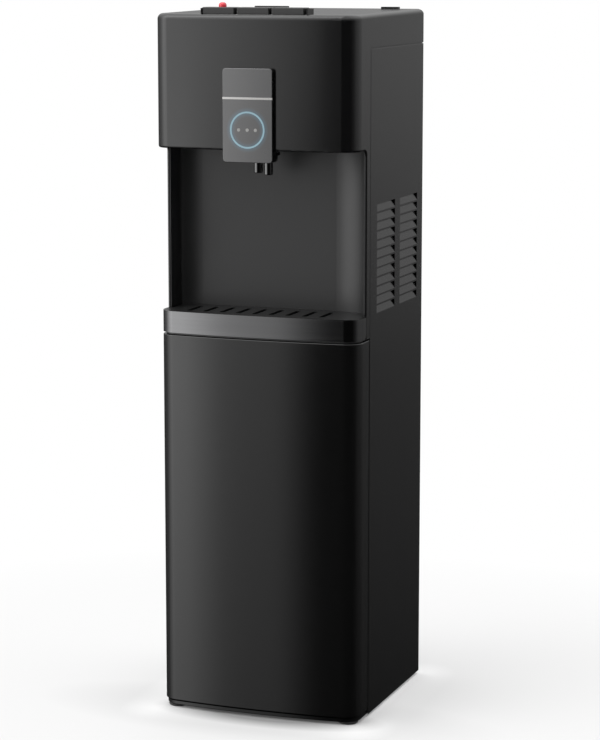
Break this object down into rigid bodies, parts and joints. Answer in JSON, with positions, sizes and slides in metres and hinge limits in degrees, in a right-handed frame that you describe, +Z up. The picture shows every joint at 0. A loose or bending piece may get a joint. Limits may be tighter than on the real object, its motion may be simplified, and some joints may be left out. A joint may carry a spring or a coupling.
{
  "type": "bottom-loading water dispenser",
  "caption": "Tall floor-standing black water dispenser with a bow-fronted head, lit control panel, dispensing niche, drip tray, lower bottle door and louvred sides.",
  "frame": {"origin": "on the floor under the middle of the overall box", "axes": "+Z up, the front faces -Y, +X is the viewer's right"},
  "size_m": [0.31, 0.346, 1.0508],
  "materials": {
    "black_plastic": "satin moulded black",
    "niche_black": "matte moulded black",
    "door_black": "satin black",
    "black_paint": "fine-textured black powder coat",
    "frame_paint": "black",
    "band_metal": "dark brushed",
    "panel_grey": "satin grey",
    "trim_metal": "bright strip",
    "ring_glow": "back-lit cyan ring",
    "lens_glow": "small back-lit marks",
    "nozzle_chrome": "dark chrome",
    "key_grey": "satin dark grey",
    "lock_red": "red",
    "rubber": "black rubber",
    "silicone": "pale silicone",
    "stainless": "stainless",
    "zinc": "zinc-plated sheet",
    "condenser_black": "black enamel",
    "copper": "copper",
    "foam": "white foam",
    "white_plastic": "white",
    "grey_plastic": "dark grey",
    "board_green": "circuit board",
    "magnet": "ferrite",
    "rocker_red": "red rocker",
    "rocker_green": "green rocker"
  },
  "bodies": {
    "cabinet": {"base_tray": "black_plastic", "feet": "rubber", "left_side_panel": "black_paint", "right_side_panel": "black_paint", "back_panel": "black_paint", "back_screws": "zinc", "front_frame": "frame_paint", "head_shell": "black_plastic", "head_underside": "niche_black", "niche_liner": "niche_black", "divider_shelf": "zinc", "tank_shelf": "zinc", "bay_liner": "grey_plastic", "suction_hose": "silicone", "water_pump": "grey_plastic", "water_lines": "silicone", "cold_tank": "stainless", "evaporator": "copper", "cold_tank_foam": "foam", "hot_tank": "stainless", "heater_band": "stainless", "hot_tank_jacket": "foam", "dispense_valves": "white_plastic", "compressor": "condenser_black", "compressor_grommets": "rubber", "condenser_tube": "condenser_black", "condenser_wires": "condenser_black", "condenser_brackets": "zinc", "control_box": "grey_plastic", "control_board": "board_green", "switch_housing": "black_plastic", "inlet_gland": "rubber", "drain_spout": "white_plastic", "panel_housing": "black_plastic", "panel_face": "panel_grey", "light_ring": "ring_glow", "panel_trim": "trim_metal", "indicator_lenses": "lens_glow", "display_board": "board_green", "nozzle_block": "niche_black", "nozzles": "nozzle_chrome", "key_bezel": "key_grey", "key_switch_board": "board_green", "key_springs": "stainless", "hinge_pins": "stainless", "rear_clips": "black_plastic"},
    "door": {"door_skin": "door_black", "door_inner": "grey_plastic", "door_magnet": "magnet"},
    "tray": {"drip_tray": "niche_black", "tray_band": "band_metal"},
    "grille": {"drip_grille": "niche_black"},
    "hot_key": {"hot_key": "key_grey"},
    "room_key": {"room_key": "key_grey"},
    "cold_key": {"cold_key": "key_grey"},
    "child_lock": {"child_lock_button": "lock_red"},
    "hot_rocker": {"hot_switch": "rocker_red"},
    "cold_rocker": {"cold_switch": "rocker_green"},
    "drain_cap": {"drain_cap": "black_plastic"},
    "probe": {"suction_probe": "white_plastic"}
  },
  "joints": [
    {"name": "door_hinge", "type": "hinge", "parent": "cabinet", "child": "door", "pos_m": [-0.146, -0.1185, 0.294], "axis": [0, 0, -1], "range_deg": [0, 105]},
    {"name": "tray_slide", "type": "slide", "parent": "cabinet", "child": "tray", "axis": [0, -1, 0], "range_m": [0, 0.11]},
    {"name": "grille_lift", "type": "slide", "parent": "tray", "child": "grille", "axis": [0, 0, 1], "range_m": [0, 0.04]},
    {"name": "hot_key_press", "type": "slide", "parent": "cabinet", "child": "hot_key", "axis": [0, 0, -1], "range_m": [0, 0.004], "stiffness_N_per_m": 500, "springref_m": -0.004, "deforming": ["key_springs"]},
    {"name": "room_key_press", "type": "slide", "parent": "cabinet", "child": "room_key", "axis": [0, 0, -1], "range_m": [0, 0.004], "stiffness_N_per_m": 500, "springref_m": -0.004, "deforming": ["key_springs"]},
    {"name": "cold_key_press", "type": "slide", "parent": "cabinet", "child": "cold_key", "axis": [0, 0, -1], "range_m": [0, 0.004], "stiffness_N_per_m": 500, "springref_m": -0.004, "deforming": ["key_springs"]},
    {"name": "child_lock_press", "type": "slide", "parent": "hot_key", "child": "child_lock", "axis": [0, 0, -1], "range_m": [0, 0.003], "stiffness_N_per_m": 300, "springref_m": -0.004},
    {"name": "hot_rocker_tilt", "type": "hinge", "parent": "cabinet", "child": "hot_rocker", "pos_m": [-0.104, 0.1553, 0.82], "axis": [-1, 0, 0], "range_deg": [0, 16]},
    {"name": "cold_rocker_tilt", "type": "hinge", "parent": "cabinet", "child": "cold_rocker", "pos_m": [-0.074, 0.1553, 0.82], "axis": [-1, 0, 0], "range_deg": [0, 16]},
    {"name": "drain_cap_turn", "type": "hinge", "parent": "cabinet", "child": "drain_cap", "pos_m": [0.092, 0.1655, 0.82], "axis": [0, 1, 0], "continuous": true},
    {"name": "probe_lift", "type": "slide", "parent": "cabinet", "child": "probe", "axis": [0, 0, 1], "range_m": [0, 0.022], "deforming": ["suction_hose"]}
  ]
}
